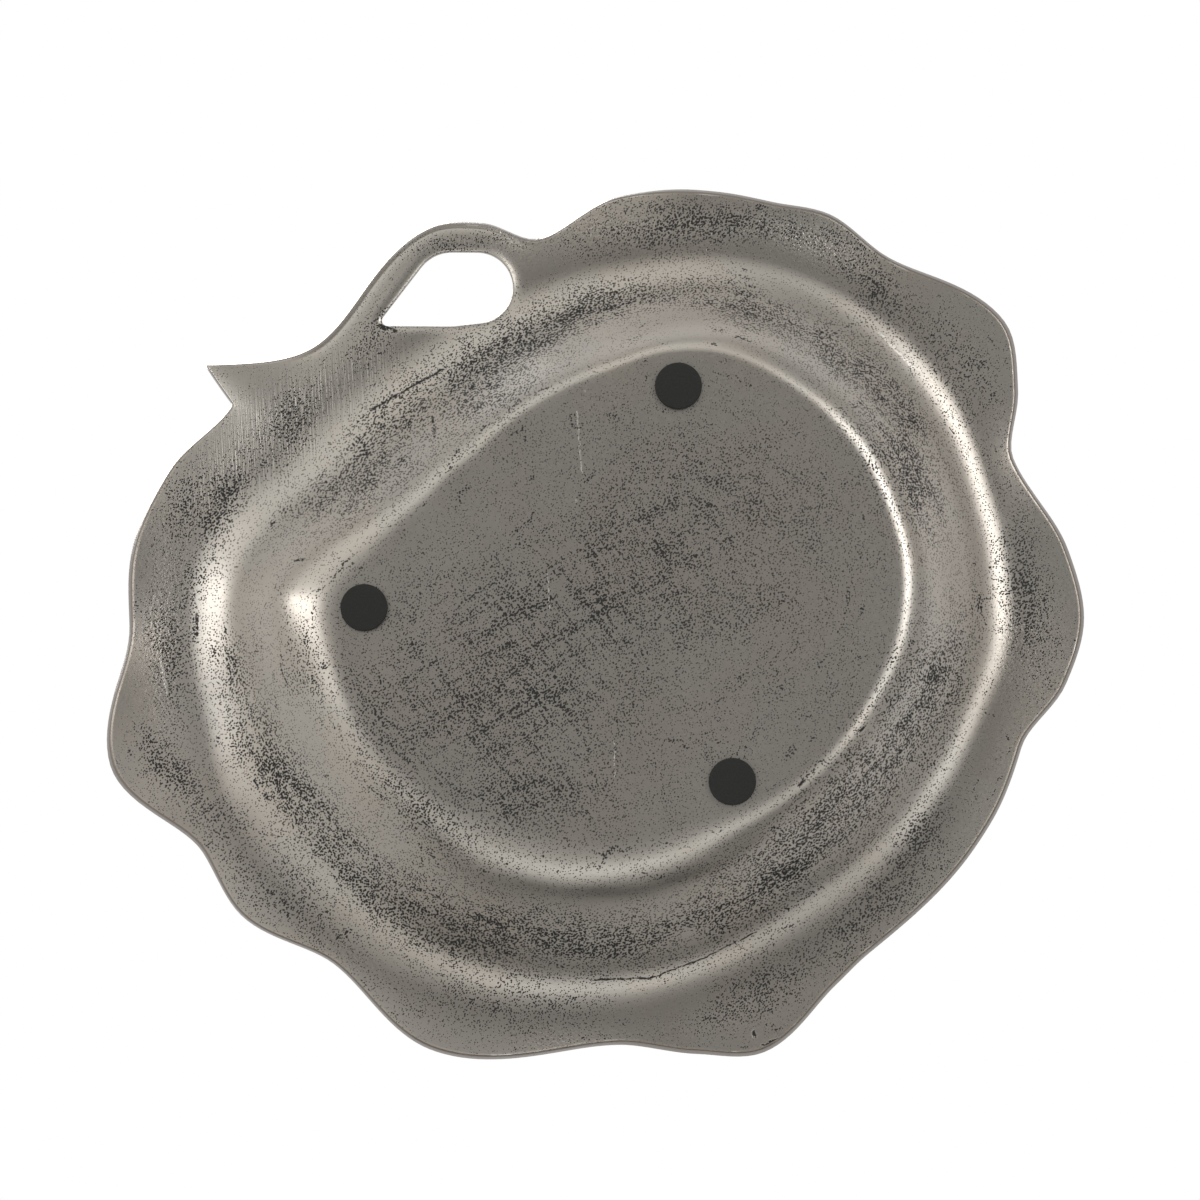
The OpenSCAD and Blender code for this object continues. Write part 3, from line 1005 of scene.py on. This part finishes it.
# %% Colour
CLEAN_COOL = (0.425, 0.402, 0.367)
CLEAN_WARM = (0.44, 0.403, 0.36)
WASH_AND_SHADE = (0.13, 0.12, 0.108)
SPECK_AND_SHADOW_COLOUR = (0.012, 0.0115, 0.011)
EDGE_COLOUR = (0.22, 0.195, 0.172)
BARE_AND_GLINT = (0.66, 0.64, 0.60)
WASH_SHARE, SHADE_LINE_SHARE, HOLLOW_SHADE_SHARE = 0.1, 0.8, 0.3
SCRATCH_AND_GLINT_SHARE, WORN_GLINT_SHARE = 0.45, 0.6
TONE_WAVE, TONE_RANGE = 50, (0.35, 0.65)
CAST_EDGE, FILED_EDGE = (0.0, 0.25), (0.0, 0.6, 1.0, 0.25)
HOLE_SHADOW_RANGE = (0.0, 0.5)
CORNER_STARTS, CORNER_ENDS = (0.0, 0.1), (0.2, 0.4, 1.0, 0.0)
WORN_GLINT_PLACES = (0.54, 0.68)

tone = noise_at(tree, mm_place, 1 / TONE_WAVE, detail=4.0, rough=0.55)
clean = tint(tree, step(tree, tone, *TONE_RANGE), CLEAN_COOL, CLEAN_WARM)
# The wash follows the patina; the line under the base's front edge and the hollow under the rim are painted
# shade.
dulled_and_shaded = calc(tree, "MULTIPLY", share, WASH_SHARE)
for layer, most in (("shade_line", SHADE_LINE_SHARE), ("hollow", HOLLOW_SHADE_SHARE)):
    dulled_and_shaded = calc(tree, "MAXIMUM", dulled_and_shaded, calc(tree, "MULTIPLY", notes[layer], most))
flecked = tint(tree, black, tint(tree, dulled_and_shaded, clean, WASH_AND_SHADE), SPECK_AND_SHADOW_COLOUR)
scratched_and_glinted = tint(tree, calc(tree, "MULTIPLY", pale_strokes, SCRATCH_AND_GLINT_SHARE), flecked, BARE_AND_GLINT)
unfiled = step(tree, notes["filed"], *FILED_EDGE)
cast_edge = calc(tree, "MULTIPLY", step(tree, notes["edge"], *CAST_EDGE), unfiled)
edged = tint(tree, cast_edge, scratched_and_glinted, EDGE_COLOUR)
# Painted shadow darkens the sides of the finger hole; specks and painted shadow share one colour.
hole_shaded = tint(tree, step(tree, notes["hole_shadow"], *HOLE_SHADOW_RANGE), edged, SPECK_AND_SHADOW_COLOUR)
# Corners of the cast edge are lightened in places: worn bare metal, partly a painted highlight.
past_corner = step(tree, notes["edge"], *CORNER_ENDS)
corner = calc(tree, "MULTIPLY", step(tree, notes["edge"], *CORNER_STARTS), past_corner)
worn_glint = calc(tree, "MULTIPLY", corner, step(tree, streaks, *WORN_GLINT_PLACES, 0.0, WORN_GLINT_SHARE))
colour = tint(tree, worn_glint, hole_shaded, BARE_AND_GLINT)
print("with the colour the tree has", len(tree.nodes), "nodes")

# %% Fine relief
GRAIN_WAVE, GRAIN_HEIGHT = 0.8, 0.02
SPECK_DEPTH = 0.03
SKIN_WAVE, SKIN_HEIGHT = 1.3, 0.3
FILE_LENGTH, FILE_WIDTH, FILE_HEIGHT = 26, 0.9, 0.2
FILE_TURN = 86
NICK_DEPTH, SCRATCH_HEIGHT = 0.08, 0.03

grain = noise_at(tree, mm_place, 1 / GRAIN_WAVE, detail=3.0, rough=0.6)
skin_bumps = noise_at(tree, mm_place, 1 / SKIN_WAVE, detail=2.0, rough=0.6)
file_place = laid_along(tree, mm_place, FILE_TURN, (FILE_LENGTH, FILE_WIDTH, FILE_LENGTH))
file_lines = noise_at(tree, file_place, 1.0, detail=3.0, rough=0.6)
relief = calc(tree, "MULTIPLY", grain, GRAIN_HEIGHT)
for layer, strength in (
        (calc(tree, "MULTIPLY", skin_bumps, notes["rough"]), SKIN_HEIGHT),
        (calc(tree, "MULTIPLY", file_lines, notes["filed"]), FILE_HEIGHT),
        (black, -SPECK_DEPTH), (dark_strokes, -NICK_DEPTH), (pale_strokes, SCRATCH_HEIGHT)):
    relief = calc(tree, "ADD", relief, calc(tree, "MULTIPLY", layer, strength))
bump = add(tree, "ShaderNodeBump", {"Strength": 1.0, "Distance": MM, "Height": relief})
print("with the relief the tree has", len(tree.nodes), "nodes")

# %% Shader of the casting
GRAIN_RANGE, SATIN = (0.2, 0.8), (0.27, 0.35)
SPECK_DULL = 0.25
SPECK_METAL = 0.3

satin = step(tree, grain, *GRAIN_RANGE, *SATIN)
rough = calc(tree, "ADD", satin, calc(tree, "MULTIPLY", black, SPECK_DULL))
shine = step(tree, black, 0.0, 1.0, 1.0, SPECK_METAL)
skin = add(tree, "ShaderNodeBsdfPrincipled", {
    "Base Color": colour, "Metallic": shine, "Roughness": rough, "Normal": bump.outputs["Normal"]})
add(tree, "ShaderNodeOutputMaterial", {"Surface": skin.outputs["BSDF"]})
print("the cast metal has", len(tree.nodes), "nodes")

# %% [markdown]
# ## Pads and their adhesive
# Each pad is a disc punched from black foam sheet, so its rim is slightly rounded and its face is flat.
# A thin film of adhesive holds it to the base. Both follow the CAD discs that they replace.

# %% Pads and films
PAD_SIDES = 72
PAD_EASE = 0.6
FILM_EASE = 0.08
EASE_STEPS = 4
SHARP_RADIANS = 1


def disc(name, node, ease, material):
    """A round disc with eased rims, in the place of a CAD disc."""
    low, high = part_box(node)
    middle = (low + high) / 2
    bm = bmesh.new()
    base = bmesh.ops.create_circle(bm, cap_ends=True, segments=PAD_SIDES, radius=(high.x - low.x) / 2)
    bmesh.ops.translate(bm, verts=base["verts"], vec=(middle.x, middle.y, low.z))
    raised = bmesh.ops.extrude_face_region(bm, geom=list(bm.faces))
    top = [item for item in raised["geom"] if isinstance(item, bmesh.types.BMVert)]
    bmesh.ops.translate(bm, verts=top, vec=(0, 0, high.z - low.z))
    bmesh.ops.recalc_face_normals(bm, faces=bm.faces)
    rims = [e for e in bm.edges if e.calc_face_angle(0) > SHARP_RADIANS]
    bmesh.ops.bevel(bm, geom=rims, offset=ease * MM, offset_type="OFFSET", segments=EASE_STEPS, profile=0.5,
                    affect="EDGES", material=-1)
    piece = finish_piece(bm, name, material)
    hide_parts(node)
    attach(piece, "root")
    return piece


foam = bpy.data.materials.new("black foam")
glue = bpy.data.materials.new("adhesive film")
for spot in ("front", "left", "back"):
    pad = disc("foam_pad_" + spot, "pad_" + spot, PAD_EASE, foam)
    disc("adhesive_" + spot, "film_" + spot, FILM_EASE, glue)

# %% Foam and adhesive materials
FOAM_COLOUR = (0.005, 0.005, 0.0048)
FOAM_WORN = (0.011, 0.0107, 0.0102)
GLUE_COLOUR = (0.60, 0.57, 0.48)
GLUE_CLOUD = (0.72, 0.70, 0.63)
CLOUD_RANGE = (0.3, 0.7)
SOFT_BUMP = 0.6


def soft_material(material, first, second, wave, rough, bump_height):
    """A matt finish whose colour and bump follow one noise; wave and height are in millimetres."""
    material.use_nodes = True
    tree = material.node_tree
    tree.nodes.clear()
    cells = noise_at(tree, place_in_mm(tree), 1 / wave, detail=4.0, rough=0.6)
    colour = tint(tree, step(tree, cells, *CLOUD_RANGE), first, second)
    bump = add(tree, "ShaderNodeBump", {
        "Strength": SOFT_BUMP, "Distance": bump_height * MM, "Height": cells})
    skin = add(tree, "ShaderNodeBsdfPrincipled", {
        "Base Color": colour, "Roughness": rough, "Normal": bump.outputs["Normal"]})
    add(tree, "ShaderNodeOutputMaterial", {"Surface": skin.outputs["BSDF"]})


soft_material(foam, FOAM_COLOUR, FOAM_WORN, wave=0.7, rough=0.85, bump_height=0.12)
soft_material(glue, GLUE_COLOUR, GLUE_CLOUD, wave=2.0, rough=0.5, bump_height=0.02)
print("foam has", len(foam.node_tree.nodes), "nodes and adhesive has", len(glue.node_tree.nodes))

# %% [markdown]
# ## Studio
# Metal shows what it mirrors, so the studio is shaped with care. The world is a tent that is dim under the
# platter and bright further out: the flat base and the rim mirror the dim part, and the walls mirror the
# bright ring. The ring isn't the same all round, so four ramps of colour, by degrees off the straight-down
# axis, are laid over each other by direction. Behind on the left the ring is a broad panel, on the left a
# dimmer screen widens it, and in front a dark strip draws the dark line under the base's edge. The dim
# part leans: it is a little brighter towards the front left. The camera sees plain white in place of the
# tent, and so does what the metal mirrors from above.

# %% Colours of the tent
world = bpy.data.worlds.new("studio tent")
bpy.context.scene.world = world
world.use_nodes = True
tree = world.node_tree
tree.nodes.clear()
direction = add(tree, "ShaderNodeTexCoord").outputs["Generated"]
parts = add(tree, "ShaderNodeSeparateXYZ", {"Vector": direction}).outputs
straight_down = calc(tree, "MULTIPLY", parts["Z"], -1.0)
off_axis = calc(tree, "DIVIDE", calc(tree, "ARCCOSINE", straight_down), math.pi)


def tent(stops):
    """Colours by degrees off the straight-down axis."""
    node = add(tree, "ShaderNodeValToRGB", {"Fac": off_axis})
    elements = node.color_ramp.elements
    while len(elements) < len(stops):
        elements.new(0.5)
    for element, (degrees, colour) in zip(elements, stops):
        element.position = degrees / 180
        element.color = (*colour, 1)
    return node.outputs["Color"]


DIM, DUSK, GLOW = (0.246, 0.241, 0.246), (0.33, 0.33, 0.324), (0.8, 0.79, 0.76)
PALE_DUSK = (0.42, 0.415, 0.4)
RING, WALLS, STRIP = (1.15, 1.15, 1.12), (0.54, 0.53, 0.51), (0.06, 0.057, 0.053)
SCREEN, SIDE = (0.85, 0.84, 0.81), (0.5, 0.49, 0.475)
around = tent([(0, DIM), (15, PALE_DUSK), (38, GLOW), (43, RING), (46, RING), (51, SIDE), (90, SIDE)])
panel = tent([(0, DIM), (15, PALE_DUSK), (36, GLOW), (42, RING), (70, RING), (82, WALLS), (90, WALLS)])
left = tent([(0, DIM), (24, DUSK), (38, GLOW), (43, RING), (50, SCREEN), (75, SCREEN), (90, WALLS)])
front = tent([(0, DIM), (24, DUSK), (36, GLOW), (46, RING), (50, RING),
              (56, STRIP), (65, STRIP), (74, WALLS)])
print("the ramps and their direction take", len(tree.nodes), "nodes")

# %% World
PANEL_SIDE, LEFT_SIDE, FRONT_SIDE = (228, 0.38, 0.74), (165, 0.75, 0.93), (85, 0.6, 0.85)
LEAN_TO, LEAN, LEAN_FADE = 140, 2.4, (20 / 180, 32 / 180)
ABOVE_RANGE = (-0.1, 0.2)

down_squared = calc(tree, "MULTIPLY", straight_down, straight_down)
flat_length = calc(tree, "SQRT", calc(tree, "SUBTRACT", 1.0, down_squared))


def sideways(angle):
    """How far a direction reaches sideways, at an angle round from +X."""
    inputs = {0: direction, 1: (*toward(angle), 0)}
    return add(tree, "ShaderNodeVectorMath", inputs, operation="DOT_PRODUCT").outputs["Value"]


def facing(angle, low, high):
    """A mask of the directions near an angle: the cosine between them runs from low to high."""
    return step(tree, calc(tree, "DIVIDE", sideways(angle), flat_length), low, high)


studio = around
for side, colours in ((PANEL_SIDE, panel), (LEFT_SIDE, left), (FRONT_SIDE, front)):
    studio = tint(tree, facing(*side), studio, colours)
lean = calc(tree, "MULTIPLY", sideways(LEAN_TO), step(tree, off_axis, *LEAN_FADE, LEAN, 0.0))
lit = calc(tree, "ADD", lean, 1.0)
studio = add(tree, "ShaderNodeVectorMath", {0: studio, "Scale": lit}, operation="SCALE").outputs[0]
rays = add(tree, "ShaderNodeLightPath").outputs
above = step(tree, parts["Z"], *ABOVE_RANGE)
mirrored = calc(tree, "MAXIMUM", rays["Is Glossy Ray"], rays["Is Transmission Ray"])
white = calc(tree, "MAXIMUM", rays["Is Camera Ray"], calc(tree, "MULTIPLY", mirrored, above))
sky = tint(tree, white, studio, (1, 1, 1))
backdrop = add(tree, "ShaderNodeBackground", {"Color": sky, "Strength": 1.0})
add(tree, "ShaderNodeOutputWorld", {"Surface": backdrop.outputs["Background"]})
print("the world has", len(tree.nodes), "nodes")

# %% [markdown]
# ## Softboxes
# Lamps below the platter draw the bright lines along the base's edge and in the hollow under the rim. One
# lamp stands above, for the upper side. Each row gives the angle round from +X and off the vertical, the
# width and the height in metres, and the power in watts.

# %% Softboxes
LAMP_DISTANCE = 1.5
BELOW = {
    "left softbox": (189, 50, 0.4, 1.2, 4.6),
    "right softbox": (335, 45, 0.9, 0.6, 5.8),
    "right strip": (12, 44, 0.7, 0.4, 1.3),
    "front fill": (88, 44, 0.9, 0.25, 0.65),
}
ABOVE = {"upper key": (230, 45, 1.0, 1.0, 18)}


def softbox(name, up, angle, off_vertical, width, height, power):
    """A soft lamp that faces the platter; up is 1 above it and -1 below it."""
    side = toward(angle) * math.sin(math.radians(off_vertical))
    spot = LAMP_DISTANCE * Vector((side.x, side.y, up * math.cos(math.radians(off_vertical))))
    lamp = bpy.data.lights.new(name, "AREA")
    lamp.shape = "RECTANGLE"
    lamp.size, lamp.size_y = width, height
    lamp.energy = power
    box = bpy.data.objects.new(name, lamp)
    box.location = spot
    box.rotation_euler = (-spot).to_track_quat("-Z", "Y").to_euler()
    box.visible_camera = False
    bpy.context.scene.collection.objects.link(box)


for up, lamps in ((-1, BELOW), (1, ABOVE)):
    for name, row in lamps.items():
        softbox(name, up, *row)
print(len(BELOW), "lamps below and", len(ABOVE), "above")

# %% [markdown]
# ## Table
# The table is a pale sheet under the pads. It only shows from above, because the photograph looks up from
# underneath, and it fades into the white tent so that no horizon shows. Only the camera sees it, so the
# tent and the lamps below still light the underside.

# %% Table
TABLE_R, TABLE_SIDES = 3.0, 64
FADE_FROM, FADE_TO = 0.6, 2.6
TABLE_WHITE = (0.86, 0.86, 0.85)

bm = bmesh.new()
bmesh.ops.create_circle(bm, cap_ends=True, segments=TABLE_SIDES, radius=TABLE_R)
table_white = bpy.data.materials.new("pale table")
table = finish_piece(bm, "table", table_white)
table_white.use_nodes = True
tree = table_white.node_tree
tree.nodes.clear()
place = add(tree, "ShaderNodeTexCoord").outputs["Object"]
out = add(tree, "ShaderNodeVectorMath", {0: place}, operation="LENGTH").outputs["Value"]
behind = add(tree, "ShaderNodeNewGeometry").outputs["Backfacing"]
fade = calc(tree, "MAXIMUM", step(tree, out, FADE_FROM, FADE_TO), behind)
cloth = add(tree, "ShaderNodeBsdfDiffuse", {"Color": (*TABLE_WHITE, 1)})
glass = add(tree, "ShaderNodeBsdfTransparent")
mixed = add(tree, "ShaderNodeMixShader", {0: fade, 1: cloth.outputs[0], 2: glass.outputs[0]})
add(tree, "ShaderNodeOutputMaterial", {"Surface": mixed.outputs[0]})
for ray in ("visible_diffuse", "visible_glossy", "visible_transmission", "visible_shadow"):
    setattr(table, ray, False)
